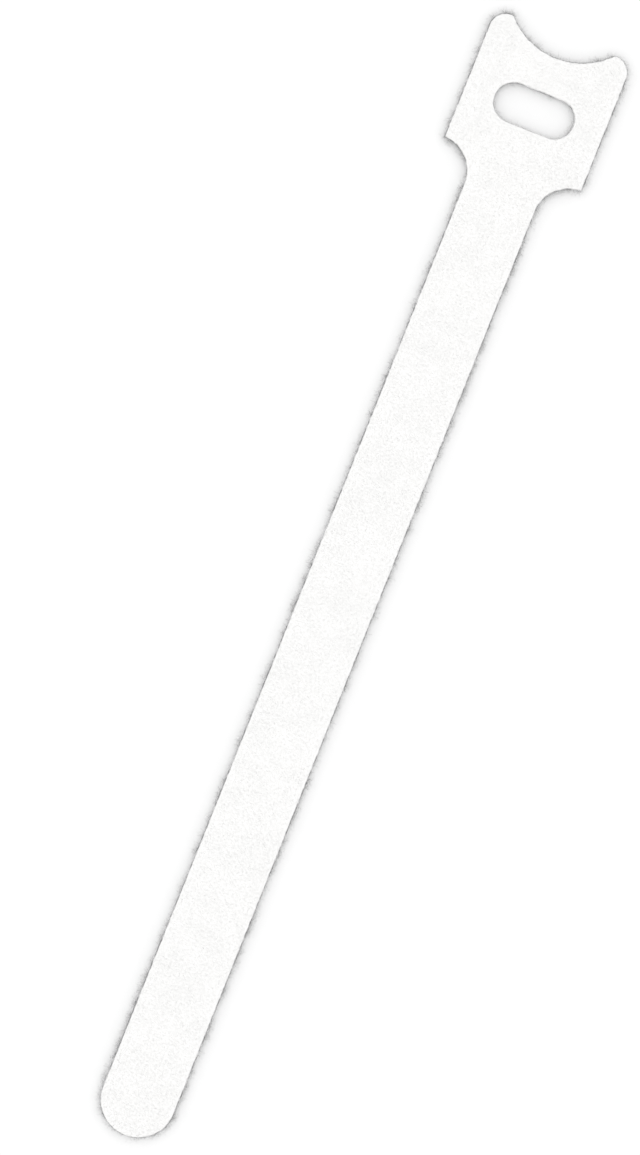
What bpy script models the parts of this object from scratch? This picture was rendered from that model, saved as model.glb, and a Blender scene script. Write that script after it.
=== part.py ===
"""Hook and loop cable tie: one die-cut strip of back-to-back tape, laid flat.

The tape is a moulded hook film bonded to a loop pile. The strip has a wide head with a slot for its own
tail, a scooped end between two round ears, hollow shoulders and a half-round tip.
Units are metres. The tie lies along X with the head at +X, the loop face up and the hook rows down.
The origin is the middle of the surface that it lies on.
"""

import math

import bmesh
import bpy

# Plan
OVERALL_LENGTH = 0.200
STRAP_WIDTH = 0.013
HEAD_WIDTH = 0.025
HEAD_LENGTH = 0.0235
SCOOP_DEPTH = 0.00405
EAR_RADIUS = 0.003
EAR_PEAK_RADIUS = 0.0008
SLOT_WIDTH = 0.0067
SLOT_SIDE_CLEARANCE = 0.00055

# Section
HOOK_HEIGHT = 0.00045
FILM_THICKNESS = 0.0002
PILE_THICKNESS = 0.00075
PILE_EDGE_RADIUS = 0.00035

# Rows of hooks
HOOK_THICKNESS = 0.00013
CROOK_RADIUS = 0.00007
HOOK_ROOT_SPREAD = 0.00004
CROOK_GAP = 0.00008
ROW_EDGE_MARGIN = 0.00025
SHORTEST_ROW = 0.0008
ROW_OVERLAP = 0.00005

# Fineness of the round stretches
TIP_STEPS = 28
SHOULDER_STEPS = 10
EAR_STEPS = 7
PEAK_STEPS = 4
SCOOP_STEPS = 20
SLOT_END_STEPS = 14
EDGE_STEPS = 4
CROOK_STEPS = 5

# Places and sizes that follow from the ones above
TIP_END = -OVERALL_LENGTH / 2
EAR_TOP = OVERALL_LENGTH / 2
TIP_RADIUS = STRAP_WIDTH / 2
SHOULDER_RADIUS = (HEAD_WIDTH - STRAP_WIDTH) / 2
HEAD_CORNER = EAR_TOP - HEAD_LENGTH
EAR_CENTRE = (EAR_TOP - EAR_RADIUS, HEAD_WIDTH / 2 - EAR_RADIUS)
PEAK_CENTRE = (EAR_TOP - EAR_PEAK_RADIUS, EAR_CENTRE[1])
SCOOP_BOTTOM = EAR_TOP - SCOOP_DEPTH
SLOT_CENTRE = (SCOOP_BOTTOM + HEAD_CORNER) / 2
SLOT_LENGTH = STRAP_WIDTH + 2 * SLOT_SIDE_CLEARANCE
FILM_BOTTOM = HOOK_HEIGHT
PILE_TOP = FILM_BOTTOM + FILM_THICKNESS + PILE_THICKNESS
CROOK_OUTER_RADIUS = CROOK_RADIUS + HOOK_THICKNESS
HOOK_REACH = HOOK_THICKNESS / 2 + CROOK_RADIUS + CROOK_OUTER_RADIUS
ROW_PITCH = 2 * HOOK_REACH + CROOK_GAP


def clear_scene():
    for obj in list(bpy.data.objects):
        bpy.data.objects.remove(obj)


def arc(centre, radius, start, end, steps):
    """Points along an arc, from the start angle to the end angle, in degrees."""
    points = []
    for i in range(steps + 1):
        angle = math.radians(start + (end - start) * i / steps)
        points.append((centre[0] + radius * math.cos(angle), centre[1] + radius * math.sin(angle)))
    return points


def scoop_circle():
    """Centre and radius of the scoop, which is as deep as stated and touches the small arc at each peak.

    The two centres are reach apart: reach - SCOOP_DEPTH along X, and the peak's own offset across it.
    """
    reach = (SCOOP_DEPTH**2 + PEAK_CENTRE[1] ** 2) / (2 * SCOOP_DEPTH)
    radius = reach - EAR_PEAK_RADIUS
    return (SCOOP_BOTTOM + radius, 0), radius


def half_outline(inset):
    """The left half of the outline, from the tip's end to the middle of the scoop, moved in by inset.

    Round corners lose the inset from their radius, and hollow ones gain it.
    """
    tip = (TIP_END + TIP_RADIUS, 0)
    shoulder = (HEAD_CORNER - SHOULDER_RADIUS, HEAD_WIDTH / 2)
    hollow = SHOULDER_RADIUS + inset
    corner = math.degrees(math.asin(inset / hollow))
    scoop, scoop_radius = scoop_circle()
    inward = math.degrees(math.atan2(PEAK_CENTRE[1], PEAK_CENTRE[0] - scoop[0]))
    points = arc(tip, TIP_RADIUS - inset, 180, 90, TIP_STEPS // 2)
    points += arc(shoulder, hollow, -90, -corner, SHOULDER_STEPS)
    points += arc(EAR_CENTRE, EAR_RADIUS - inset, 90, 0, EAR_STEPS)
    points += arc(PEAK_CENTRE, EAR_PEAK_RADIUS - inset, 0, inward - 180, PEAK_STEPS)[1:]
    points += arc(scoop, scoop_radius + inset, inward, 180, SCOOP_STEPS // 2)[1:]
    return points


def outline(inset=0):
    """The whole outline as one closed loop of points, mirrored about X."""
    left = half_outline(inset)
    right = [(x, -y) for x, y in reversed(left[1:-1])]
    return left + right


def slot_loop(outset=0):
    """The slot, with its half-round ends, as one closed loop of points, grown by outset."""
    radius = SLOT_WIDTH / 2
    straight = SLOT_LENGTH / 2 - radius
    points = arc((SLOT_CENTRE, straight), radius + outset, 0, 180, SLOT_END_STEPS)
    points += arc((SLOT_CENTRE, -straight), radius + outset, 180, 360, SLOT_END_STEPS)
    return points


def edge_section():
    """The cut edge's section as (inset, height) pairs: a square film edge under a rounded pile."""
    centre = (PILE_EDGE_RADIUS, PILE_TOP - PILE_EDGE_RADIUS)
    return [(0, FILM_BOTTOM)] + arc(centre, PILE_EDGE_RADIUS, 180, 90, EDGE_STEPS)


def add_wall(mesh, loop_at):
    """A wall of quads round one closed loop, up the edge's section. Returns its bottom and top edges."""
    rings = []
    for inset, height in edge_section():
        rings.append([mesh.verts.new((x, y, height)) for x, y in loop_at(inset)])
    for lower, upper in zip(rings, rings[1:]):
        for i in range(len(lower)):
            j = (i + 1) % len(lower)
            mesh.faces.new((lower[i], upper[i], upper[j], lower[j]))
    ends = []
    for ring in (rings[0], rings[-1]):
        ends.append([mesh.edges.get((ring[i - 1], ring[i])) for i in range(len(ring))])
    return ends


def add_face(mesh, edges, up):
    """A flat face with its hole, filled with triangles between loops of edges, pointing up or down."""
    filled = bmesh.ops.triangle_fill(mesh, edges=edges, use_beauty=True)
    for item in filled["geom"]:
        if isinstance(item, bmesh.types.BMFace):
            item.normal_update()
            if (item.normal.z > 0) != up:
                item.normal_flip()


def tape_mesh():
    """The die-cut tape without its hooks: outer wall, slot wall and the two flat faces between them."""
    mesh = bmesh.new()
    outer_bottom, outer_top = add_wall(mesh, outline)
    slot_bottom, slot_top = add_wall(mesh, slot_loop)
    add_face(mesh, outer_bottom + slot_bottom, up=False)
    add_face(mesh, outer_top + slot_top, up=True)
    return mesh


def crossings(loop, y):
    """The places along X where a closed loop of points crosses the line at this y, lowest first."""
    found = []
    for (x0, y0), (x1, y1) in zip(loop, loop[1:] + loop[:1]):
        if (y0 > y) != (y1 > y):
            found.append(x0 + (x1 - x0) * (y - y0) / (y1 - y0))
    return sorted(found)


def stretches_at(y):
    """The stretches along X that lie on the tape at this y, clear of its edge and its slot by the margin."""
    ends = crossings(outline(ROW_EDGE_MARGIN), y)
    gap = crossings(slot_loop(ROW_EDGE_MARGIN), y)
    bounds = ends[:1] + gap + ends[1:]
    return list(zip(bounds[0::2], bounds[1::2]))


def shared(first, second):
    """The stretches that two lists of (start, end) stretches share, without the shortest ones."""
    found = []
    for a0, a1 in first:
        for b0, b1 in second:
            start, end = max(a0, b0), min(a1, b1)
            if end - start > SHORTEST_ROW:
                found.append((start, end))
    return found


def hook_profile():
    """The hook's section as (across, height) points: a tapered stem that turns through a round crook.

    The crook is half a ring with an odd number of outer sides, so that its lowest side lies flat at height 0.
    """
    half = HOOK_THICKNESS / 2
    root = FILM_BOTTOM + ROW_OVERLAP
    crown_drop = CROOK_OUTER_RADIUS * math.cos(math.pi / CROOK_STEPS / 2)
    centre = (half + CROOK_RADIUS, crown_drop)
    points = [(-half - HOOK_ROOT_SPREAD, root)]
    points += arc(centre, CROOK_OUTER_RADIUS, 180, 360, CROOK_STEPS)
    points += arc(centre, CROOK_RADIUS, 360, 180, CROOK_STEPS - 2)
    points.append((half + HOOK_ROOT_SPREAD, root))
    return points


def add_row(mesh, y, side, start, end):
    """One row of hooks as a rail of the hook's own section, from start to end along X.

    The crook is turned towards +Y or -Y, by the side's sign.
    """
    profile = [(side * across, height) for across, height in hook_profile()][::side]
    rings = [[mesh.verts.new((x, y + across, z)) for across, z in profile] for x in (start, end)]
    for i in range(len(profile)):
        j = (i + 1) % len(profile)
        mesh.faces.new((rings[0][i], rings[0][j], rings[1][j], rings[1][i]))
    mesh.faces.new(rings[0][::-1])
    mesh.faces.new(rings[1])


def hook_rows_mesh():
    """Every row of hooks across the tie's width, each turned the other way from its neighbour."""
    mesh = bmesh.new()
    outermost = int((HEAD_WIDTH / 2 - ROW_EDGE_MARGIN - HOOK_REACH) / ROW_PITCH)
    for row in range(-outermost, outermost + 1):
        y = row * ROW_PITCH
        side = 1 if row % 2 else -1
        for start, end in shared(stretches_at(y - HOOK_REACH), stretches_at(y + HOOK_REACH)):
            add_row(mesh, y, side, start, end)
    return mesh


def object_from(mesh, name):
    data = bpy.data.meshes.new(name)
    mesh.to_mesh(data)
    mesh.free()
    obj = bpy.data.objects.new(name, data)
    bpy.context.scene.collection.objects.link(obj)
    return obj


def white_tape():
    material = bpy.data.materials.new("white_hook_and_loop_tape")
    material.use_nodes = True
    shader = material.node_tree.nodes["Principled BSDF"]
    shader.inputs["Base Color"].default_value = (0.86, 0.86, 0.85, 1)
    shader.inputs["Roughness"].default_value = 0.9
    shader.inputs["Metallic"].default_value = 0
    return material


def main():
    clear_scene()
    tie = object_from(tape_mesh(), "cable_tie")
    tie.data.materials.append(white_tape())
    tie.data.shade_smooth()
    tie.data.set_sharp_from_angle(angle=math.radians(35))
    rows = object_from(hook_rows_mesh(), "hook_rows")
    rows.hide_render = True
    rows.display_type = "WIRE"
    join = tie.modifiers.new("hook_rows", "BOOLEAN")
    join.operation = "UNION"
    join.object = rows


main()
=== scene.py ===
"""Hook and loop cable tie: the looks of one die-cut strip of back-to-back tape, laid flat.

The loop pile faces up and the moulded hooks face down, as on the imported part. Lengths are in metres, in
the part's own frame: the tie lies along X with its head at +X, and rests at height 0.
"""

import math

import bmesh
import bpy
import numpy as np
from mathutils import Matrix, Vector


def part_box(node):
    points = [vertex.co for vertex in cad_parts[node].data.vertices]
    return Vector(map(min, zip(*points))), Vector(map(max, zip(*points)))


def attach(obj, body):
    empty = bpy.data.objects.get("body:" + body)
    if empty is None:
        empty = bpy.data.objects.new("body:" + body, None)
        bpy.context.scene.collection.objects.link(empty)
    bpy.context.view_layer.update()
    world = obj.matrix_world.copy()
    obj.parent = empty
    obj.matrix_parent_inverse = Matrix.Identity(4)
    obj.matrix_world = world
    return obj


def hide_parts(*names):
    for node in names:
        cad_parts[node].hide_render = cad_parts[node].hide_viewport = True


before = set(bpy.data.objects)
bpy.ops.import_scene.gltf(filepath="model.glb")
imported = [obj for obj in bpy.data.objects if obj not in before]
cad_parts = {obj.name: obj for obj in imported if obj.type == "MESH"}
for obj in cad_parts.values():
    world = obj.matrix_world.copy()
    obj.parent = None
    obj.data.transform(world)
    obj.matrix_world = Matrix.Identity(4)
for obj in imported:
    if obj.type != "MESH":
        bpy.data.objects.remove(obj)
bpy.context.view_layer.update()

bl_info = {
    "name": "Hook and Loop Cable Tie",
    "version": (1, 0, 0),
    "blender": (4, 5, 0),
    "location": "View3D > Sidebar > Cable Tie",
    "description": "Makes a die-cut hook and loop cable tie with its pile, hooks and cut edges",
    "category": "Object",
}

NODE = "cable_tie"
BODY = "root"
LOW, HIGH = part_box(NODE)
DIMENSIONS = HIGH - LOW

# Fineness of the tape's mesh
ARC_STEPS = 90
OUTLINE_SPACING = 0.00036
EAR_FINENESS = 0.5
FACE_COLUMNS = 14
BACK_COLUMNS = 4
EDGE_TURNS = 5
EAR_SHARE = 0.32
SLOT_CORNER = 0.65

# Cut edge
EDGE_WAVER = 0.00004
EDGE_PERIODS = (0.0026, 0.0017, 0.0011, 0.0007)
EDGE_SEEDS = (1, 2)
EDGE_FADE = 0.001
FILM_EDGE = 0.00003
# Share of the painted edge shade that the slot's wall takes
SLOT_SHADE = 0.66

# Slow swell of the pile's face
SWELL = 0.000012
SWELL_ALONG = (0.0113, 0.0071, 0.0037)
SWELL_ACROSS = (0.0059, 0.0031)
SWELL_SKEW = 0.2
SWELL_SEEDS = (11, 12)

# Loops, where ranges are shares of the full size
LOOP_SEED = 21
LOOP_JITTER = 0.35
LOOP_HEIGHTS = (0.65, 1.0)
LOOP_SPANS = (0.7, 1.2)
LOOP_LEANS = (-0.8, 0.8)
LOOP_SHADES = (0.3, 1)
LOOP_BULGE = 0.35
LOOP_STATIONS = 5
# How fast loops down the rounded edge take the painted edge shade
LOOP_EDGE_DARKENING = 1.5
EDGE_ZONES = np.linspace(0.1, 1, 5)
PILE_PARTS = 4
YARN_CORNERS = 3

# Cut fibres
FIBRE_SEED = 31
FIBRE_SPACING = 0.00008
SLOT_FRAY = 0.3
TUFT_SPACING = 0.0022
TUFT_BREADTH = 0.0004
TUFT_SHARE = 0.6
FIBRE_SWING = 0.6
FIBRE_TILT = 0.3
FIBRE_HEADROOM = 0.3
FIBRE_ROOT_DEPTH = 0.00006
FIBRE_LENGTHS = (1.6, 2.8)
FIBRE_DROOP = 0.3
FIBRE_TAPER = 0.6
# Shares of painted grey and dark shade on the cut fibres
FIBRE_SHADE_SHARES = (0.15, 0.7)
FIBRE_STATIONS = 3

# Hooks
CROOK_END = 370
CROOK_STEPS = 4
ROOT_DEPTH = 0.00004
HOOK_TAPER = 0.6
HOOK_MARGIN = 0.0001
HOOK_CORNERS = 4

# Finishes: heights of the bumps, and the ranges of noise that are stretched from 0 to 1
CLOTH_BUMP = 0.000025
FINE_BUMP = 0.00001
PATCH_RANGE = (0.3, 0.7)
GRAIN_RANGE = (0.25, 0.75)
# Ranges for the painted edge shade: where it lies, and its dark dashes
SHADE_MASK_RANGE = (0.15, 0.85)
DARK_SHADE_RANGE = (0.38, 0.58)
MARK_RANGE = (0.3, 0.7)
MARK_SHADE = 0.93
MARK_ROUGHNESS = 0.15
NYLON_ROUGHNESS = 0.35

# Stage
FLOOR_LEVEL = -0.00001


class TieSizes(bpy.types.PropertyGroup):
    """The tie's plan and section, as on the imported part."""

    overall_length: bpy.props.FloatProperty(
        name="Overall length", description="From the tip to the tops of the ears",
        default=DIMENSIONS.x, precision=5, unit="LENGTH",
    )
    head_width: bpy.props.FloatProperty(
        name="Head width", description="Across the head's straight sides",
        default=DIMENSIONS.y, precision=5, unit="LENGTH",
    )
    thickness: bpy.props.FloatProperty(
        name="Thickness", description="From the hooks' crowns to the top of the pile",
        default=DIMENSIONS.z, precision=5, unit="LENGTH",
    )
    strap_width: bpy.props.FloatProperty(
        name="Strap width", description="Across the strap and its half-round tip",
        default=0.013, precision=5, unit="LENGTH",
    )
    head_length: bpy.props.FloatProperty(
        name="Head length", description="From the corners above the shoulders to the tops of the ears",
        default=0.0235, precision=5, unit="LENGTH",
    )
    scoop_depth: bpy.props.FloatProperty(
        name="Scoop depth", description="From the tops of the ears down to the middle of the scoop",
        default=0.00405, precision=5, unit="LENGTH",
    )
    ear_radius: bpy.props.FloatProperty(
        name="Ear radius", description="Outer round of each ear",
        default=0.003, precision=5, unit="LENGTH",
    )
    ear_peak_radius: bpy.props.FloatProperty(
        name="Ear peak radius", description="Small round where an ear turns into the scoop",
        default=0.0008, precision=5, unit="LENGTH",
    )
    slot_width: bpy.props.FloatProperty(
        name="Slot width", description="Across the slot's straight sides",
        default=0.0067, precision=5, unit="LENGTH",
    )
    slot_side_clearance: bpy.props.FloatProperty(
        name="Slot side clearance", description="Room on each side of a strap that passes through the slot",
        default=0.00055, precision=5, unit="LENGTH",
    )
    hook_height: bpy.props.FloatProperty(
        name="Hook height", description="From the film down to the hooks' crowns",
        default=0.00045, precision=5, unit="LENGTH",
    )
    film_thickness: bpy.props.FloatProperty(
        name="Film thickness", description="Moulded film that carries the hooks",
        default=0.0002, precision=5, unit="LENGTH",
    )
    edge_radius: bpy.props.FloatProperty(
        name="Edge radius", description="Round of the pile where the die has cut it",
        default=0.00035, precision=5, unit="LENGTH",
    )


class PileFinish(bpy.types.PropertyGroup):
    """The loop pile: its loops, its ground cloth and its colours."""

    loop_pitch: bpy.props.FloatProperty(
        name="Loop pitch", description="Between neighbouring loops",
        default=0.00042, precision=5, unit="LENGTH",
    )
    loop_height: bpy.props.FloatProperty(
        name="Loop height", description="Of a full loop above the ground cloth",
        default=0.00016, precision=5, unit="LENGTH",
    )
    loop_span: bpy.props.FloatProperty(
        name="Loop span", description="Between the two feet of a loop",
        default=0.00034, precision=5, unit="LENGTH",
    )
    yarn_diameter: bpy.props.FloatProperty(
        name="Yarn diameter", description="Of the fine yarn that each loop is made of",
        default=0.000055, precision=6, unit="LENGTH",
    )
    # Painted light: loops are whiter than the ground cloth to offset the shade among them; the spread from
    # loop to loop is random tone
    crown: bpy.props.FloatVectorProperty(
        name="Crown yarn", description="Colour of the whitest loops",
        default=(0.902, 0.899, 0.894), min=0, max=1, subtype="COLOR",
    )
    bright: bpy.props.FloatVectorProperty(
        name="Bright yarn", description="Colour of the ground cloth where the pile lies thick",
        default=(0.832, 0.8285, 0.8235), min=0, max=1, subtype="COLOR",
    )
    dull: bpy.props.FloatVectorProperty(
        name="Dull yarn", description="Colour of the ground cloth where the pile lies thin",
        default=(0.811, 0.8085, 0.803), min=0, max=1, subtype="COLOR",
    )
    # Painted shade: grey put on the rounded cut edge, its wall, the film's edge, the loops down the edge and
    # the fibres, so the edge reads darker as if in shadow
    grey_edge_shade: bpy.props.FloatVectorProperty(
        name="Cut edge", description="Colour of the raw edge that the die leaves",
        default=(0.57, 0.57, 0.57), min=0, max=1, subtype="COLOR",
    )
    # Painted shade: near-black put in dashes on the cut edge and on some fibres, standing for the dark line
    # of shade along the edge
    dark_edge_shade: bpy.props.FloatVectorProperty(
        name="Crushed edge", description="Colour of the raw edge where the die has crushed it",
        default=(0.17, 0.17, 0.175), min=0, max=1, subtype="COLOR",
    )
    fibre_length: bpy.props.FloatProperty(
        name="Fibre length", description="Of the longest cut fibres that stand out of the edge",
        default=0.0014, precision=5, unit="LENGTH",
    )
    fibre_diameter: bpy.props.FloatProperty(
        name="Fibre diameter", description="Of the fibres that stand out of the edge",
        default=0.00004, precision=6, unit="LENGTH",
    )


class HookField(bpy.types.PropertyGroup):
    """The moulded hooks under the film."""

    row_pitch: bpy.props.FloatProperty(
        name="Row pitch", description="Between neighbouring rows of hooks, across the tie",
        default=0.00075, precision=5, unit="LENGTH",
    )
    hook_pitch: bpy.props.FloatProperty(
        name="Hook pitch", description="Between neighbouring hooks in a row, along the tie",
        default=0.0006, precision=5, unit="LENGTH",
    )
    hook_breadth: bpy.props.FloatProperty(
        name="Hook breadth", description="Of a hook along its row, at its root",
        default=0.00026, precision=5, unit="LENGTH",
    )
    hook_thickness: bpy.props.FloatProperty(
        name="Hook thickness", description="Of a hook across its row, at its root",
        default=0.00016, precision=5, unit="LENGTH",
    )
    crook_radius: bpy.props.FloatProperty(
        name="Crook radius", description="Of the crook's middle line",
        default=0.00013, precision=6, unit="LENGTH",
    )
    nylon: bpy.props.FloatVectorProperty(
        name="Nylon", description="Colour of the moulded hooks and their film",
        default=(0.66, 0.66, 0.655), min=0, max=1, subtype="COLOR",
    )


class Studio(bpy.types.PropertyGroup):
    """The pale floor, the soft light and the camera."""

    camera_lens: bpy.props.FloatProperty(
        name="Lens", description="Focal length of the camera, in millimetres",
        default=100, unit="CAMERA",
    )
    frame_length: bpy.props.FloatProperty(
        name="Frame length", description="What the long side of the picture takes in at the tie's top",
        default=0.1948, precision=5, unit="LENGTH",
    )
    tie_lean: bpy.props.FloatProperty(
        name="Tie's lean", description="How far the tie's head leans to the right of upright in the picture",
        default=math.radians(21.81), subtype="ANGLE",
    )
    aim: bpy.props.FloatVectorProperty(
        name="Aim", description="Where on the tie the camera looks, along and across it",
        size=2, default=(-0.0003, 0.0043), precision=5, unit="LENGTH",
    )
    floor_size: bpy.props.FloatProperty(
        name="Floor size", description="Length of the floor's sides",
        default=6.0, unit="LENGTH",
    )
    dome_strength: bpy.props.FloatProperty(
        name="Dome strength", description="Strength of the even light from all round",
        default=1.29, min=0,
    )
    floor: bpy.props.FloatVectorProperty(
        name="Floor", description="Colour of the floor",
        default=(0.806, 0.806, 0.806), min=0, max=1, subtype="COLOR",
    )


def arc(centre, radius, start, end, steps):
    """Points centre + radius * (cos a, sin a), with a in equal steps from start to end, in degrees."""
    a = np.radians(np.linspace(start, end, steps + 1))
    return np.stack([centre[0] + radius * np.cos(a), centre[1] + radius * np.sin(a)], axis=1)


def polyline_length(points):
    return np.hypot(*np.diff(points, axis=0).T).sum()


def lengths_along(points):
    """The length of a polyline from its start to each of its points."""
    return np.concatenate([[0], np.cumsum(np.hypot(*np.diff(points, axis=0).T))])


def resampled(points, fractions, values=None):
    """A polyline's points, or values that go with them, at fractions of its length, interpolated linearly."""
    along = lengths_along(points)
    columns = (points if values is None else values).T
    return np.stack([np.interp(fractions * along[-1], along, c) for c in columns], axis=1)


def mirrored(points):
    return points * np.array([1, -1])


class Plan:
    """Places and radii that follow from the tie's sizes. The collar is halfway from slot to scoop."""

    def __init__(self, sizes):
        ear_top = sizes.overall_length / 2
        half_head = sizes.head_width / 2
        self.tip_radius = sizes.strap_width / 2
        self.tip = (self.tip_radius - ear_top, 0)
        self.head_corner = ear_top - sizes.head_length
        self.shoulder_radius = half_head - self.tip_radius
        self.shoulder = (self.head_corner - self.shoulder_radius, half_head)
        self.ear_radius = sizes.ear_radius
        self.ear = (ear_top - sizes.ear_radius, half_head - sizes.ear_radius)
        self.peak_radius = sizes.ear_peak_radius
        self.peak = (ear_top - sizes.ear_peak_radius, self.ear[1])
        reach = (sizes.scoop_depth**2 + self.peak[1] ** 2) / (2 * sizes.scoop_depth)
        self.scoop_bottom = ear_top - sizes.scoop_depth
        self.scoop_radius = reach - self.peak_radius
        self.scoop = (self.scoop_bottom + self.scoop_radius, 0)
        self.scoop_start = math.degrees(math.atan2(self.peak[1], self.peak[0] - self.scoop[0]))
        self.slot_centre = (self.scoop_bottom + self.head_corner) / 2
        self.slot_radius = sizes.slot_width / 2
        self.slot_straight = self.tip_radius + sizes.slot_side_clearance - self.slot_radius
        self.collar = (self.slot_centre + self.slot_radius + self.scoop_bottom) / 2

    def outer_spans(self):
        """Half the outline as six spans: tip, strap side, shoulder, head side to the collar, ear, scoop."""
        tip = arc(self.tip, self.tip_radius, 180, 90, ARC_STEPS)
        shoulder = arc(self.shoulder, self.shoulder_radius, -90, 0, ARC_STEPS)
        collar = np.array([[self.collar, self.shoulder[1]]])
        ear = arc(self.ear, self.ear_radius, 90, 0, ARC_STEPS)
        peak = arc(self.peak, self.peak_radius, 0, self.scoop_start - 180, ARC_STEPS)[1:]
        scoop = arc(self.scoop, self.scoop_radius, self.scoop_start, 180, ARC_STEPS)
        return [
            tip,
            np.stack([tip[-1], shoulder[0]]),
            shoulder,
            np.concatenate([shoulder[-1:], collar]),
            np.concatenate([collar, ear, peak]),
            scoop,
        ]

    def half_slot(self, outset=0):
        """Half the slot's outline, grown by outset, from its side near the tip to its side near the scoop."""
        radius = self.slot_radius + outset
        bend = arc((self.slot_centre, self.slot_straight), radius, 180, 0, ARC_STEPS)
        ends = np.array([[self.slot_centre - radius, 0], [self.slot_centre + radius, 0]])
        return np.concatenate([ends[:1], bend, ends[1:]])


def chained(spans):
    """Points along the outline's spans, evenly spaced in each, and the places in them where each starts.

    They are OUTLINE_SPACING apart, which keeps the rows beside a square corner clear of the rounded edge's
    inset there, and closer by EAR_FINENESS on the two spans of the ear and the scoop.
    """
    points, starts = [], [0]
    for span, share in zip(spans, (1, 1, 1, 1, EAR_FINENESS, EAR_FINENESS)):
        count = round(polyline_length(span) / (share * OUTLINE_SPACING))
        points.append(resampled(span, np.arange(count) / count))
        starts.append(starts[-1] + count)
    return np.concatenate(points + [spans[-1][-1:]]), starts


def spread(stops, starts):
    """Points on straight lines from each stop to the next, as many to a line as each span has."""
    counts = np.diff(starts)
    lines = [a + (b - a) * np.arange(n)[:, None] / n for a, b, n in zip(stops, stops[1:], counts)]
    return np.concatenate(lines + [stops[-1:]])


def outward(points):
    """Outward directions along half an outline that runs clockwise, mitred where it turns.

    Each is the left normal of the mean of the two neighbouring directions, over the cosine of half the turn.
    """
    padded = np.concatenate([mirrored(points[1:2]), points, mirrored(points[-2:-1])])
    steps = np.diff(padded, axis=0)
    steps /= np.hypot(*steps.T)[:, None]
    mean = steps[:-1] + steps[1:]
    mean /= np.hypot(*mean.T)[:, None]
    mean /= (mean * steps[1:]).sum(1)[:, None]
    return np.stack([-mean[:, 1], mean[:, 0]], axis=1)


def waves(s, periods, seed):
    """The sum of one sine wave for each period, with random phases and equal shares, from -1 to 1."""
    phases = np.random.default_rng(seed).uniform(0, 2 * np.pi, len(periods))
    return sum(np.sin(2 * np.pi * s / p + f) for p, f in zip(periods, phases)) / len(periods)


def grid_faces(rows, columns, first=0):
    """Quads between neighbouring rows and columns of a grid of points numbered row by row."""
    at = first + np.arange(rows * columns).reshape(rows, columns)
    return np.stack([at[:-1, :-1], at[1:, :-1], at[1:, 1:], at[:-1, 1:]], axis=-1).reshape(-1, 4)


def new_piece(name, points, faces, material, weld=False, attributes=()):
    """A mesh object from an (n, 3) array of points and lists of (m, k) arrays of face corners."""
    mesh = bpy.data.meshes.new(name)
    mesh.vertices.add(len(points))
    mesh.vertices.foreach_set("co", np.asarray(points, np.float32).ravel())
    corners = np.concatenate([f.ravel() for f in faces]).astype(np.int32)
    sizes = np.concatenate([np.full(len(f), f.shape[1]) for f in faces])
    mesh.loops.add(len(corners))
    mesh.loops.foreach_set("vertex_index", corners)
    mesh.polygons.add(len(sizes))
    mesh.polygons.foreach_set("loop_start", np.concatenate([[0], np.cumsum(sizes)[:-1]]).astype(np.int32))
    mesh.update(calc_edges=True)
    for title, values in attributes:
        mesh.attributes.new(title, "FLOAT", "POINT").data.foreach_set("value", np.asarray(values, np.float32))
    if weld:
        shell = bmesh.new()
        shell.from_mesh(mesh)
        bmesh.ops.remove_doubles(shell, verts=shell.verts, dist=1e-7)
        bmesh.ops.recalc_face_normals(shell, faces=shell.faces)
        shell.to_mesh(mesh)
        shell.free()
    mesh.polygons.foreach_set("use_smooth", np.ones(len(mesh.polygons), bool))
    mesh.validate()
    mesh.materials.append(material)
    piece = bpy.data.objects.new(name, mesh)
    bpy.context.scene.collection.objects.link(piece)
    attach(piece, BODY)
    return piece


def ruled(outer, inner, columns):
    """The grid (1 - b) * outer + b * inner, with b from 0 to 1 in equal steps, one for each column."""
    b = np.linspace(0, 1, columns + 1)[None, :, None]
    return (1 - b) * outer[:, None] + b * inner[:, None]


def slot_fractions(starts):
    """How far round half the slot each row ends, of those on the head's side and on the collar's line."""
    beside = np.linspace(0, SLOT_CORNER, starts[4] - starts[3], endpoint=False)
    return np.concatenate([beside, np.linspace(SLOT_CORNER, 1, starts[6] - starts[4] + 1)])


def patches(plan, rim, starts, outset, columns):
    """Two grids that fill half a face between its rim, the middle line and the slot grown by outset.

    The first is ruled from the rim up to the collar, and on from the collar's line, to the middle line
    and round the slot. The second is ruled from the rest of the rim to the collar's line. Each comes
    with a mask of its points that lie on the rim or the slot, which sets their painted edge shade.
    """
    foot, collar = starts[3], starts[4]
    ear_end = rim[collar] * (1, 1 - EAR_SHARE)
    line = spread(np.array([rim[collar], ear_end, (plan.collar, 0)]), starts[4:])
    ring = resampled(plan.half_slot(outset), slot_fractions(starts))
    stops = np.array([(plan.tip[0] - plan.tip_radius / 2, 0), plan.tip, (plan.shoulder[0], 0), ring[0]])
    middle = np.concatenate([spread(stops, starts[:4])[:-1], ring])
    lower = ruled(np.concatenate([rim[:collar], line]), middle, columns)
    upper = ruled(rim[collar:], line, columns)
    lower_ends, upper_ends = np.zeros(lower.shape[:2]), np.zeros(upper.shape[:2])
    lower_ends[: collar + 1, 0] = 1
    lower_ends[foot:, -1] = SLOT_SHADE
    upper_ends[:, 0] = 1
    upper_ends[0] = 1
    return (lower, lower_ends), (upper, upper_ends)


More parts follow.
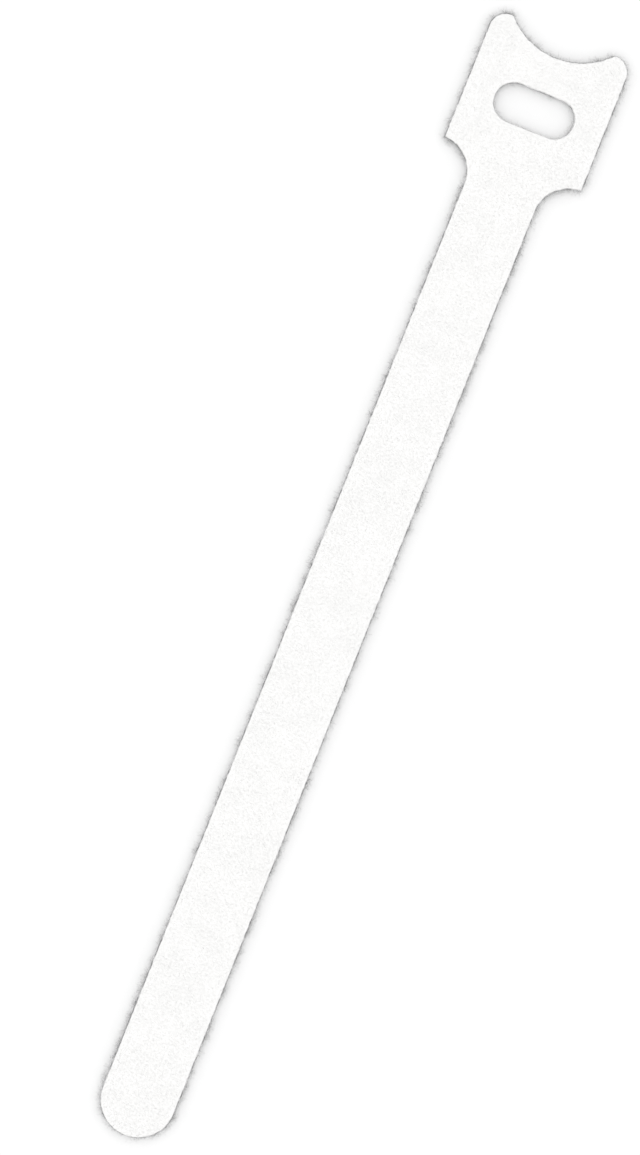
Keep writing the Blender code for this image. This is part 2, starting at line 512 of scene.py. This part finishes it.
def half_slab(plan, side, bottom, top, radius, columns, waver, relief):
    """One half of a closed slab of the tie's plan, rounded by radius at its upper edges.

    The edge turns down by t from 0 to 90 degrees: inset radius * (1 - sin t), height
    top - radius * (1 - cos t). It then drops to the bottom height, and the slot's wall does the same.
    waver(s) moves the cut edge outward at the length s along it, less and less towards the middle line
    and the head's corner, and relief(x, y) raises the face. The slot's wall takes less painted shade.
    Returns grids of points and grids of how much painted edge shade each point takes.
    """
    outer, starts = chained(plan.outer_spans())
    normals = outward(outer)
    along = lengths_along(outer)
    still_places = along[[0, starts[3], -1]]
    fade = np.minimum(1, np.abs(along[:, None] - still_places).min(axis=1) / EDGE_FADE)
    outer = outer + normals * (waver(along) * fade)[:, None]
    turn = np.radians(np.linspace(0, 90, EDGE_TURNS + 1))
    inset = np.append(radius * (1 - np.sin(turn)), 0)
    height = np.append(top - radius * (1 - np.cos(turn)), bottom)
    # cut is the share of painted edge shade: none on the level face, full on the wall
    lift, cut = np.append(np.cos(turn), 0), np.append(np.sin(turn), 1)
    edge = outer[:, None] - normals[:, None] * inset[:, None]
    fractions = slot_fractions(starts)
    wall = np.stack([resampled(plan.half_slot(i), fractions) for i in inset], axis=1)
    grids = [(edge, height, lift, cut), (wall, height, lift, SLOT_SHADE * cut)]
    faces = ((edge[:, 0], radius, top, 0, columns), (outer, 0, bottom, 1, BACK_COLUMNS))
    for rim, outset, level, back, count in faces:
        for flat, ends in patches(plan, rim, starts, outset, count):
            grids.append((flat, level, 1 - back, back * ends))
    points, edge_shades = [], []
    for flat, level, share, shade_share in grids:
        flat = flat * (1, side)
        z = level + share * relief(flat[..., 0], flat[..., 1])
        points.append(np.concatenate([flat, z[..., None]], axis=-1))
        edge_shades.append(np.broadcast_to(shade_share, z.shape))
    return points, edge_shades


def slab(plan, bottom, top, radius, columns, wavers, relief):
    """Both halves of a slab, as points, quads and how much painted edge shade each point takes."""
    points, faces, edge_shades, first = [], [], [], 0
    for side, waver in zip((1, -1), wavers):
        grids, shares = half_slab(plan, side, bottom, top, radius, columns, waver, relief)
        for grid, share in zip(grids, shares):
            rows, places = grid.shape[:2]
            faces.append(grid_faces(rows, places, first))
            points.append(grid.reshape(-1, 3))
            edge_shades.append(share.ravel())
            first += rows * places
    return np.concatenate(points), faces, np.concatenate(edge_shades)


def whole_ring(half):
    """Half a ring that starts and ends on the middle line, closed by its mirror image."""
    return np.concatenate([half, mirrored(half[-2:0:-1])])


def inside(points, ring):
    """Which points lie inside a closed ring: those with an odd number of its sides ahead of them along X."""
    x, y = points[:, 0, None], points[:, 1, None]
    x0, y0 = ring.T
    x1, y1 = np.roll(ring, -1, axis=0).T
    rise = np.where(y1 == y0, 1, y1 - y0)
    met = ((y0 > y) != (y1 > y)) & (x < x0 + (x1 - x0) * (y - y0) / rise)
    return met.sum(axis=1) % 2 == 1


def on_tape(points, plan, margin):
    """Which points lie on the tape, clear of its edge and its slot by the margin."""
    outer = chained(plan.outer_spans())[0]
    ring = whole_ring(outer - margin * outward(outer))
    return inside(points, ring) & ~inside(points, whole_ring(plan.half_slot(margin)))


def lattice(length, width, pitch_x, pitch_y):
    """Points of a lattice centred on the origin, each second row moved by half a pitch, and their rows."""
    rows = np.arange(-math.ceil(width / 2 / pitch_y), math.ceil(width / 2 / pitch_y) + 1)
    columns = np.arange(-math.ceil(length / 2 / pitch_x), math.ceil(length / 2 / pitch_x) + 1)
    row, column = np.meshgrid(rows, columns, indexing="ij")
    x = (column + 0.5 * (row % 2)) * pitch_x
    return np.stack([x.ravel(), (row * pitch_y).ravel()], axis=1), row.ravel()


def tubes(paths, sides, across, along, corners, turn=0.0):
    """Tubes round many paths at once, with their faces.

    A point is P + across * cos a * M + along * sin a * B: P is on the path, B the path's own side
    direction, M the cross product of B and the path's direction, and a goes once round from turn.
    """
    count, stations = paths.shape[:2]
    ahead = np.gradient(paths, axis=1)
    ahead /= np.linalg.norm(ahead, axis=-1, keepdims=True)
    normal = np.cross(sides[:, None], ahead)
    a = turn + 2 * np.pi * np.arange(corners) / corners
    points = (
        paths[:, :, None]
        + across[..., None, None] * np.cos(a)[:, None] * normal[:, :, None]
        + along[..., None, None] * np.sin(a)[:, None] * sides[:, None, None]
    )
    at = np.arange(count * stations * corners).reshape(count, stations, corners)
    after = np.roll(at, -1, axis=2)
    skin = np.stack([at[:, :-1], after[:, :-1], after[:, 1:], at[:, 1:]], axis=-1).reshape(-1, 4)
    return points.reshape(-1, 3), [skin, at[:, 0, ::-1], at[:, -1]]


def unit(vectors):
    return vectors / np.linalg.norm(vectors, axis=-1, keepdims=True)


def loop_paths(feet, height, span, heading, lean, stations):
    """Middle lines of pile loops.

    With f from 0 to 180 degrees, a loop runs along its heading by -cos f * (1 + LOOP_BULGE * sin f) half
    spans, rises by sin f times its height and leans over by sin f times its lean.
    """
    f = np.linspace(0, np.pi, stations)
    run = -np.cos(f) * (1 + LOOP_BULGE * np.sin(f)) / 2
    paths = feet[:, None] + span[:, None, None] * run[:, None] * heading[:, None]
    paths = paths + np.sin(f)[:, None] * lean[:, None]
    paths[..., 2] += np.sin(f) * height[:, None]
    return paths


def fibre_paths(roots, out, length, stations, lowest):
    """Middle lines of cut fibres.

    With f from 0 to 1, a fibre runs from its root along its own direction by f times its length, and
    droops by FIBRE_DROOP times f squared times its length, down to the lowest height at most.
    """
    f = np.linspace(0, 1, stations)
    paths = roots[:, None] + (length[:, None] * f)[..., None] * out[:, None]
    paths[..., 2] = np.maximum(paths[..., 2] - FIBRE_DROOP * length[:, None] * f**2, lowest)
    return paths


def hook_path(height, crook_radius, half_thickness):
    """The middle line of a hook as (across, height) rows: a straight stem, then an arc round the crook."""
    centre = (crook_radius, crook_radius + half_thickness)
    crook = arc(centre, crook_radius, 180, CROOK_END, CROOK_STEPS)
    return np.concatenate([[[0, height + ROOT_DEPTH]], crook])


def add(tree, kind, **settings):
    node = tree.nodes.new(kind)
    for name, value in settings.items():
        setattr(node, name, value)
    return node


def maths(tree, operation, *values):
    """A maths node's result, with each value a socket or a number."""
    node = add(tree, "ShaderNodeMath", operation=operation)
    for socket, value in zip(node.inputs, values):
        if isinstance(value, bpy.types.NodeSocket):
            tree.links.new(value, socket)
        else:
            socket.default_value = value
    return node.outputs[0]


def noise(tree, vector, size, detail, roughness=0.5):
    """Noise from 0 to 1 whose features are about one size across."""
    node = add(tree, "ShaderNodeTexNoise")
    node.inputs["Detail"].default_value = detail
    node.inputs["Roughness"].default_value = roughness
    tree.links.new(vector, node.inputs["Vector"])
    tree.links.new(maths(tree, "DIVIDE", 1.0, size), node.inputs["Scale"])
    return node.outputs["Fac"]


def stretched(tree, value, low, high):
    """A value's range from low to high, stretched smoothly to 0 to 1."""
    node = add(tree, "ShaderNodeMapRange", interpolation_type="SMOOTHSTEP")
    node.inputs["From Min"].default_value = low
    node.inputs["From Max"].default_value = high
    tree.links.new(value, node.inputs["Value"])
    return node.outputs["Result"]


def new_group(name, inputs, outputs):
    """A shader node group with named sockets: inputs as (name, type, default), outputs as names of values."""
    tree = bpy.data.node_groups.new(name, "ShaderNodeTree")
    for title, kind, default in inputs:
        socket = tree.interface.new_socket(title, in_out="INPUT", socket_type=kind)
        if default is not None:
            socket.default_value = default
    for title in outputs:
        tree.interface.new_socket(title, in_out="OUTPUT", socket_type="NodeSocketFloat")
    return tree, add(tree, "NodeGroupInput"), add(tree, "NodeGroupOutput")


def fibre_mottle():
    """Patches where the pile lies thicker, and the grain of single fibres, each from 0 to 1."""
    tree, given, made = new_group(
        "fibre_mottle",
        [
            ("Vector", "NodeSocketVector", None),
            ("Patch Size", "NodeSocketFloat", 0.003),
            ("Grain Size", "NodeSocketFloat", 0.0002),
        ],
        ["Patch", "Grain"],
    )
    patch = noise(tree, given.outputs["Vector"], given.outputs["Patch Size"], 2)
    grain = noise(tree, given.outputs["Vector"], given.outputs["Grain Size"], 3, 0.6)
    tree.links.new(stretched(tree, patch, *PATCH_RANGE), made.inputs["Patch"])
    tree.links.new(stretched(tree, grain, *GRAIN_RANGE), made.inputs["Grain"])
    return tree


def knit_courses():
    """The knit of the ground cloth: rows of stitches along and across the tape, as a height from 0 to 1."""
    tree, given, made = new_group(
        "knit_courses",
        [
            ("Vector", "NodeSocketVector", None),
            ("Course", "NodeSocketFloat", 0.0005),
            ("Wale", "NodeSocketFloat", 0.0007),
        ],
        ["Height"],
    )
    split = add(tree, "ShaderNodeSeparateXYZ")
    tree.links.new(given.outputs["Vector"], split.inputs[0])
    courses = []
    for axis, size in (("X", "Course"), ("Y", "Wale")):
        turns = maths(tree, "DIVIDE", split.outputs[axis], given.outputs[size])
        wave = maths(tree, "SINE", maths(tree, "MULTIPLY", turns, 2 * math.pi))
        courses.append(maths(tree, "MULTIPLY_ADD", wave, 0.5, 0.5))
    tree.links.new(maths(tree, "MULTIPLY", *courses), made.inputs["Height"])
    return tree


def painted_edge_shade():
    """Painted shade on the cut edge: how far a place takes it, spread past the Cut share and broken up by
    noise, and where it is dark rather than grey.

    The dark stretches are broken up into dashes: fine specks are added to the coarse noise.
    """
    tree, given, made = new_group(
        "painted_edge_shade",
        [
            ("Vector", "NodeSocketVector", None),
            ("Cut", "NodeSocketFloat", 0.0),
            ("Fray Size", "NodeSocketFloat", 0.0008),
            ("Shade Break", "NodeSocketFloat", 0.5),
            ("Crush Size", "NodeSocketFloat", 0.0012),
            ("Speck Size", "NodeSocketFloat", 0.00007),
            ("Speck", "NodeSocketFloat", 0.7),
        ],
        ["Mask", "Dark Shade"],
    )
    tufts = noise(tree, given.outputs["Vector"], given.outputs["Fray Size"], 3, 0.6)
    off_middle = maths(tree, "SUBTRACT", tufts, 0.5)
    shade_mask = maths(tree, "MULTIPLY_ADD", off_middle, given.outputs["Shade Break"], given.outputs["Cut"])
    tree.links.new(stretched(tree, shade_mask, *SHADE_MASK_RANGE), made.inputs["Mask"])
    coarse = noise(tree, given.outputs["Vector"], given.outputs["Crush Size"], 3, 0.6)
    specks = noise(tree, given.outputs["Vector"], given.outputs["Speck Size"], 2)
    off_specks = maths(tree, "SUBTRACT", specks, 0.5)
    darkened = maths(tree, "MULTIPLY_ADD", off_specks, given.outputs["Speck"], coarse)
    tree.links.new(stretched(tree, darkened, *DARK_SHADE_RANGE), made.inputs["Dark Shade"])
    return tree


def mould_marks():
    """Faint flow marks and scuffs on moulded nylon, from 0 to 1."""
    tree, given, made = new_group(
        "mould_marks",
        [("Vector", "NodeSocketVector", None), ("Mark Size", "NodeSocketFloat", 0.0009)],
        ["Mark"],
    )
    marks = noise(tree, given.outputs["Vector"], given.outputs["Mark Size"], 4, 0.55)
    tree.links.new(stretched(tree, marks, *MARK_RANGE), made.inputs["Mark"])
    return tree


def placed(tree, group, **values):
    """A group's node in a material, fed with the piece's own coordinates and the given values."""
    node = add(tree, "ShaderNodeGroup", node_tree=group)
    tree.links.new(add(tree, "ShaderNodeTexCoord").outputs["Object"], node.inputs["Vector"])
    for title, value in values.items():
        socket = node.inputs[title.replace("_", " ").title()]
        if isinstance(value, bpy.types.NodeSocket):
            tree.links.new(value, socket)
        else:
            socket.default_value = value
    return node


def colour_mix(tree, factor, first, second):
    """A colour between two, each a socket or a colour."""
    node = add(tree, "ShaderNodeMix", data_type="RGBA")
    for name, value in (("A_Color", first), ("B_Color", second)):
        socket = next(s for s in node.inputs if s.identifier == name)
        if isinstance(value, bpy.types.NodeSocket):
            tree.links.new(value, socket)
        else:
            socket.default_value = (*value, 1)
    tree.links.new(factor, node.inputs[0])
    return next(s for s in node.outputs if s.identifier == "Result_Color")


def new_material(name, roughness, specular=0.5):
    material = bpy.data.materials.new(name)
    material.use_nodes = True
    shader = material.node_tree.nodes["Principled BSDF"]
    shader.inputs["Roughness"].default_value = roughness
    shader.inputs["Specular IOR Level"].default_value = specular
    return material, material.node_tree, shader


def attribute(tree, name):
    return add(tree, "ShaderNodeAttribute", attribute_name=name).outputs["Fac"]


def bumped(tree, shader, height, distance):
    node = add(tree, "ShaderNodeBump")
    node.inputs["Strength"].default_value = 1
    node.inputs["Distance"].default_value = distance
    tree.links.new(height, node.inputs["Height"])
    tree.links.new(node.outputs["Normal"], shader.inputs["Normal"])


def ground_cloth(pile, groups):
    """The knitted ground of the pile, with painted grey and dark shade on its rounded edge and cut wall."""
    material, tree, shader = new_material("pile_ground", roughness=0.95, specular=0.1)
    mottle = placed(tree, groups["fibre_mottle"])
    knit = placed(tree, groups["knit_courses"])
    edge_shading_node = placed(tree, groups["painted_edge_shade"], cut=attribute(tree, "cut"))
    cloth = colour_mix(tree, mottle.outputs["Patch"], pile.dull, pile.bright)
    # Painted shade: grey and near-black, mixed by noise, on the rounded edge and the wall
    shadowed = colour_mix(tree, edge_shading_node.outputs["Dark Shade"], pile.grey_edge_shade, pile.dark_edge_shade)
    colour = colour_mix(tree, edge_shading_node.outputs["Mask"], cloth, shadowed)
    tree.links.new(colour, shader.inputs["Base Color"])
    height = maths(tree, "ADD", knit.outputs["Height"], mottle.outputs["Grain"])
    bumped(tree, shader, height, CLOTH_BUMP)
    return material


def loop_yarn(pile, groups):
    """The yarn of the loops and the cut fibres: each its own tone, the loops painted whiter than the ground
    cloth to offset the shade among them, and painted grey or dark shade on loops down the rounded edge and on
    the fibres.
    """
    material, tree, shader = new_material("loop_yarn", roughness=0.9, specular=0.15)
    mottle = placed(tree, groups["fibre_mottle"], grain_size=0.00006)
    shade = maths(tree, "MULTIPLY", mottle.outputs["Patch"], attribute(tree, "shade"))
    # Loops run from the ground's bright colour up to crown: a painted lift against the shade among them,
    # spread at random from loop to loop
    yarn = colour_mix(tree, shade, pile.bright, pile.crown)
    # Painted shade: grey or near-black, by each loop's or fibre's own number, for loops down the edge and for
    # the fibres
    shadowed = colour_mix(tree, attribute(tree, "shade"), pile.dark_edge_shade, pile.grey_edge_shade)
    colour = colour_mix(tree, attribute(tree, "cut"), yarn, shadowed)
    tree.links.new(colour, shader.inputs["Base Color"])
    bumped(tree, shader, mottle.outputs["Grain"], FINE_BUMP)
    return material


def moulded_nylon(pile, hooks, groups):
    """Natural nylon, satin from the mould, with faint flow marks, and painted grey shade on the film's cut
    edge.
    """
    material, tree, shader = new_material("moulded_nylon", roughness=0.4)
    marks = placed(tree, groups["mould_marks"]).outputs["Mark"]
    shaded = tuple(MARK_SHADE * c for c in hooks.nylon)
    moulded = colour_mix(tree, marks, shaded, hooks.nylon)
    # Painted shade: grey on the film's edge and on the rim of its underside
    colour = colour_mix(tree, attribute(tree, "cut"), moulded, pile.grey_edge_shade)
    tree.links.new(colour, shader.inputs["Base Color"])
    roughness = maths(tree, "MULTIPLY_ADD", marks, MARK_ROUGHNESS, NYLON_ROUGHNESS)
    tree.links.new(roughness, shader.inputs["Roughness"])
    bumped(tree, shader, marks, FINE_BUMP)
    return material


def make_materials(scene):
    """Every finish of the tie, by name, made once."""
    groups = {make.__name__: make() for make in (fibre_mottle, knit_courses, painted_edge_shade, mould_marks)}
    ground_cloth(scene.tie_pile, groups)
    loop_yarn(scene.tie_pile, groups)
    moulded_nylon(scene.tie_pile, scene.tie_hooks, groups)


def pile_relief(x, y):
    """The slow swell of the pile's face: SWELL times two sets of waves added up, one along, one across."""
    along, across = SWELL_SEEDS
    return SWELL * (waves(x, SWELL_ALONG, along) + waves(y + SWELL_SKEW * x, SWELL_ACROSS, across))


def flat_relief(x, y):
    return np.zeros_like(x)


class TIE_OT_finishes(bpy.types.Operator):
    """Make the tie's materials"""

    bl_idname = "cable_tie.finishes"
    bl_label = "Finishes"

    def execute(self, context):
        make_materials(context.scene)
        return {"FINISHED"}


class TIE_OT_tape(bpy.types.Operator):
    """Make the tape: the pile's ground cloth over the hook film"""

    bl_idname = "cable_tie.tape"
    bl_label = "Tape"

    def execute(self, context):
        sizes, pile = context.scene.tie_sizes, context.scene.tie_pile
        plan = Plan(sizes)
        film_bottom = sizes.hook_height
        film_top = film_bottom + sizes.film_thickness
        cloth_top = sizes.thickness - pile.loop_height
        wavers = [lambda s, seed=seed: EDGE_WAVER * waves(s, EDGE_PERIODS, seed) for seed in EDGE_SEEDS]
        # cut holds how much painted grey and dark shade each point of the rounded edge and wall takes
        points, faces, cut = slab(
            plan, film_top, cloth_top, sizes.edge_radius, FACE_COLUMNS, wavers, pile_relief
        )
        ground = bpy.data.materials["pile_ground"]
        cloth = new_piece("loop_cloth", points, faces, ground, weld=True, attributes=[("cut", cut)])
        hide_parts(NODE)
        still = (np.zeros_like, np.zeros_like)
        # The film's cut holds painted shade on its edge and on the rim of its underside
        points, faces, cut = slab(plan, film_bottom, film_top, FILM_EDGE, BACK_COLUMNS, still, flat_relief)
        nylon = bpy.data.materials["moulded_nylon"]
        new_piece("hook_film", points, faces, nylon, weld=True, attributes=[("cut", cut)])
        return {"FINISHED"}


class TIE_OT_pile(bpy.types.Operator):
    """Make the loops of the pile"""

    bl_idname = "cable_tie.pile"
    bl_label = "Pile"

    def execute(self, context):
        sizes, pile = context.scene.tie_sizes, context.scene.tie_pile
        plan = Plan(sizes)
        rng = np.random.default_rng(LOOP_SEED)
        feet, _ = lattice(sizes.overall_length, sizes.head_width, pile.loop_pitch, pile.loop_pitch)
        feet = feet + rng.uniform(-LOOP_JITTER, LOOP_JITTER, feet.shape) * pile.loop_pitch
        drop = np.full(len(feet), np.nan)
        for margin in EDGE_ZONES * sizes.edge_radius:
            fall = sizes.edge_radius - math.sqrt(sizes.edge_radius**2 - (sizes.edge_radius - margin) ** 2)
            drop[on_tape(feet, plan, margin)] = fall
        kept = ~np.isnan(drop)
        feet, drop = feet[kept], drop[kept]
        count = len(feet)
        angle = rng.uniform(0, 2 * np.pi, count)
        heading = np.stack([np.cos(angle), np.sin(angle), np.zeros(count)], axis=1)
        side = np.stack([-np.sin(angle), np.cos(angle), np.zeros(count)], axis=1)
        height = pile.loop_height * rng.uniform(*LOOP_HEIGHTS, count)
        span = pile.loop_span * rng.uniform(*LOOP_SPANS, count)
        lean = side * (height * rng.uniform(*LOOP_LEANS, count))[:, None]
        base = sizes.thickness - pile.loop_height - drop + pile_relief(*feet.T) - pile.yarn_diameter / 2
        feet = np.column_stack([feet, base])
        paths = loop_paths(feet, height, span, heading, lean, LOOP_STATIONS)
        radius = np.full(paths.shape[:2], pile.yarn_diameter / 2)
        shade = rng.uniform(*LOOP_SHADES, count)
        # Painted shade on the loops that step down the rounded edge, more the lower they sit
        edge_darkening = np.clip(drop / sizes.edge_radius * LOOP_EDGE_DARKENING, 0, 1)
        each = LOOP_STATIONS * YARN_CORNERS
        yarn = bpy.data.materials["loop_yarn"]
        edges = np.linspace(-sizes.overall_length / 2, sizes.overall_length / 2, PILE_PARTS + 1)
        for part in range(PILE_PARTS):
            here = (feet[:, 0] >= edges[part]) & (feet[:, 0] < edges[part + 1])
            points, faces = tubes(paths[here], side[here], radius[here], radius[here], YARN_CORNERS)
            attributes = [("shade", np.repeat(shade[here], each)), ("cut", np.repeat(edge_darkening[here], each))]
            new_piece(f"pile_loops_{part + 1}", points, faces, yarn, attributes=attributes)
        return {"FINISHED"}


class TIE_OT_fibres(bpy.types.Operator):
    """Make the cut fibres, many of them in tufts, that stand out of the pile's edge and the slot's wall"""

    bl_idname = "cable_tie.fibres"
    bl_label = "Cut Fibres"

    def execute(self, context):
        sizes, pile = context.scene.tie_sizes, context.scene.tie_pile
        plan = Plan(sizes)
        rng = np.random.default_rng(FIBRE_SEED)
        outer = chained(plan.outer_spans())[0]
        roots, out = [], []
        for half, sense, share in ((outer, 1, 1), (plan.half_slot(), -1, SLOT_FRAY)):
            ring, normals = whole_ring(half), whole_ring(sense * outward(half))
            length = polyline_length(ring)
            count = int(share * length / FIBRE_SPACING)
            tufts = rng.uniform(0, 1, int(length / TUFT_SPACING))
            gathered = (rng.choice(tufts, count) + rng.normal(0, TUFT_BREADTH / length, count)) % 1
            fractions = np.where(rng.uniform(0, 1, count) < TUFT_SHARE, gathered, rng.uniform(0, 1, count))
            roots.append(resampled(ring, fractions))
            out.append(unit(resampled(ring, fractions, normals)))
        roots, out = np.concatenate(roots), np.concatenate(out)
        count = len(roots)
        angle = rng.normal(0, FIBRE_SWING, count)
        beside = np.stack([-out[:, 1], out[:, 0]], axis=1)
        out = out * np.cos(angle)[:, None] + beside * np.sin(angle)[:, None]
        out = unit(np.column_stack([out, rng.normal(0, FIBRE_TILT, count)]))
        low = sizes.hook_height + sizes.film_thickness + pile.fibre_diameter
        high = sizes.thickness - pile.loop_height - FIBRE_HEADROOM * sizes.edge_radius
        roots = np.column_stack([roots, rng.uniform(low, high, count)]) - FIBRE_ROOT_DEPTH * out
        length = FIBRE_ROOT_DEPTH + pile.fibre_length * rng.beta(*FIBRE_LENGTHS, count)
        paths = fibre_paths(roots, out, length, FIBRE_STATIONS, pile.fibre_diameter / 2)
        sides = unit(np.cross(out, np.array([0, 0, 1])))
        radius = pile.fibre_diameter / 2 * np.linspace(1, FIBRE_TAPER, FIBRE_STATIONS)
        radius = np.broadcast_to(radius, (count, FIBRE_STATIONS))
        points, faces = tubes(paths, sides, radius, radius, YARN_CORNERS)
        each = FIBRE_STATIONS * YARN_CORNERS
        # Painted shade: each fibre takes a share of grey or near-black, so the fringe darkens the edge like a
        # shadow band
        attributes = [
            ("shade", np.repeat(rng.uniform(0, 1, count), each)),
            ("cut", np.repeat(rng.uniform(*FIBRE_SHADE_SHARES, count), each)),
        ]
        new_piece("cut_fibres", points, faces, bpy.data.materials["loop_yarn"], attributes=attributes)
        return {"FINISHED"}


class TIE_OT_hooks(bpy.types.Operator):
    """Make the field of moulded hooks under the film"""

    bl_idname = "cable_tie.hooks"
    bl_label = "Hooks"

    def execute(self, context):
        sizes, hooks = context.scene.tie_sizes, context.scene.tie_hooks
        plan = Plan(sizes)
        feet, row = lattice(sizes.overall_length, sizes.head_width, hooks.hook_pitch, hooks.row_pitch)
        side = np.where(row % 2, 1.0, -1.0)
        path = hook_path(sizes.hook_height, hooks.crook_radius, hooks.hook_thickness / 2)
        reach = np.array([0, path[:, 0].max() + hooks.hook_thickness / 2])
        kept = on_tape(feet - side[:, None] * reach / 3, plan, HOOK_MARGIN)
        kept &= on_tape(feet + side[:, None] * reach, plan, HOOK_MARGIN)
        feet, side = feet[kept], side[kept]
        count, stations = len(feet), len(path)
        paths = np.zeros((count, stations, 3))
        paths[..., 0] = feet[:, :1]
        paths[..., 1] = feet[:, 1:] + side[:, None] * path[:, 0]
        paths[..., 2] = path[:, 1]
        taper = np.linspace(1, HOOK_TAPER, stations)
        across = np.broadcast_to(hooks.hook_thickness * taper / math.sqrt(2), (count, stations))
        along = np.broadcast_to(hooks.hook_breadth * taper / math.sqrt(2), (count, stations))
        ways = np.stack([side, np.zeros(count), np.zeros(count)], axis=1)
        nylon = bpy.data.materials["moulded_nylon"]
        middle = plan.shoulder[0] / 2 - plan.tip_radius
        for name, here in (("hooks_tail", feet[:, 0] < middle), ("hooks_head", feet[:, 0] >= middle)):
            shape = paths[here], ways[here], across[here], along[here]
            points, faces = tubes(*shape, HOOK_CORNERS, math.pi / HOOK_CORNERS)
            new_piece(name, points, faces, nylon)
        return {"FINISHED"}


class TIE_OT_stage(bpy.types.Operator):
    """Make the floor, the soft light and the camera"""

    bl_idname = "cable_tie.stage"
    bl_label = "Stage"

    def execute(self, context):
        scene, studio = context.scene, context.scene.tie_studio
        half = studio.floor_size / 2
        mesh = bpy.data.meshes.new("floor")
        signs = ((-1, -1), (1, -1), (1, 1), (-1, 1))
        corners = [(x * half, y * half, FLOOR_LEVEL) for x, y in signs]
        mesh.from_pydata(corners, [], [(0, 1, 2, 3)])
        material, _, shader = new_material("pale_floor", roughness=0.9, specular=0)
        shader.inputs["Base Color"].default_value = (*studio.floor, 1)
        mesh.materials.append(material)
        floor = bpy.data.objects.new("floor", mesh)
        scene.collection.objects.link(floor)
        world = bpy.data.worlds.new("studio_dome")
        world.use_nodes = True
        world.node_tree.nodes["Background"].inputs["Color"].default_value = (1, 1, 1, 1)
        world.node_tree.nodes["Background"].inputs["Strength"].default_value = studio.dome_strength
        scene.world = world
        data = bpy.data.cameras.new("camera")
        data.lens = studio.camera_lens
        camera = bpy.data.objects.new("camera", data)
        scene.collection.objects.link(camera)
        distance = studio.frame_length * data.lens / data.sensor_width
        camera.location = (*studio.aim, scene.tie_sizes.thickness + distance)
        camera.rotation_euler = (0, 0, studio.tie_lean - math.pi / 2)
        scene.camera = camera
        scene.view_settings.view_transform = "Standard"
        return {"FINISHED"}


OPERATORS = (TIE_OT_finishes, TIE_OT_tape, TIE_OT_pile, TIE_OT_fibres, TIE_OT_hooks, TIE_OT_stage)
SETTINGS = {
    "tie_sizes": TieSizes,
    "tie_pile": PileFinish,
    "tie_hooks": HookField,
    "tie_studio": Studio,
}


class TIE_PT_panel(bpy.types.Panel):
    """Sizes, finishes and steps of the cable tie"""

    bl_label = "Cable Tie"
    bl_space_type = "VIEW_3D"
    bl_region_type = "UI"
    bl_category = "Cable Tie"

    def draw(self, context):
        for name, kind in SETTINGS.items():
            box = self.layout.box()
            for title in kind.__annotations__:
                box.prop(getattr(context.scene, name), title)
        for operator in OPERATORS:
            self.layout.operator(operator.bl_idname)


CLASSES = (*SETTINGS.values(), *OPERATORS, TIE_PT_panel)


def register():
    for cls in CLASSES:
        bpy.utils.register_class(cls)
    for name, kind in SETTINGS.items():
        setattr(bpy.types.Scene, name, bpy.props.PointerProperty(type=kind))


def unregister():
    for name in SETTINGS:
        delattr(bpy.types.Scene, name)
    for cls in reversed(CLASSES):
        bpy.utils.unregister_class(cls)


def declare_cloth(sizes):
    """Work out the outline of the tape, die-cut to the tie's plan, and the names of its film, fibres, hooks
    and pile; nothing is done with them.
    """
    plan = Plan(sizes)
    outline = whole_ring(chained(plan.outer_spans())[0])
    names = ["hook_film", "cut_fibres", "hooks_tail", "hooks_head"]
    names += [f"pile_loops_{part + 1}" for part in range(PILE_PARTS)]


def main():
    register()
    bpy.ops.cable_tie.finishes()
    bpy.ops.cable_tie.tape()
    bpy.ops.cable_tie.pile()
    bpy.ops.cable_tie.fibres()
    bpy.ops.cable_tie.hooks()
    bpy.ops.cable_tie.stage()
    declare_cloth(bpy.context.scene.tie_sizes)


if __name__ == "__main__":
    main()
